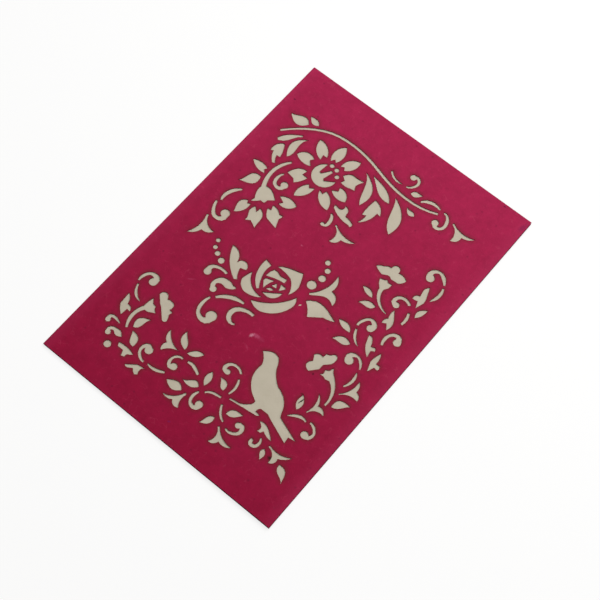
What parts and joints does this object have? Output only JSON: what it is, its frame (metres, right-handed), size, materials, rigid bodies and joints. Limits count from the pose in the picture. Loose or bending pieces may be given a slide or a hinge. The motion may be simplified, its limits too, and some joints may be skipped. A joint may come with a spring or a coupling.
{
  "type": "greeting card",
  "caption": "Folded portrait greeting card of handmade paper, its front leaf cut through with a floral papercut that shows a plain folded inner sheet.",
  "frame": {"origin": "middle of the closed card's outline, on the surface it lies on", "axes": "+X from the fold to the fore edge, +Y up the page, +Z out of the front leaf"},
  "size_m": [0.1145, 0.166, 0.0018],
  "materials": {
    "magenta_paper": "matte, fibrous handmade paper",
    "cream_paper": "matte handmade paper"
  },
  "bodies": {
    "root": {"cover": "magenta_paper", "insert": "cream_paper"}
  },
  "joints": []
}
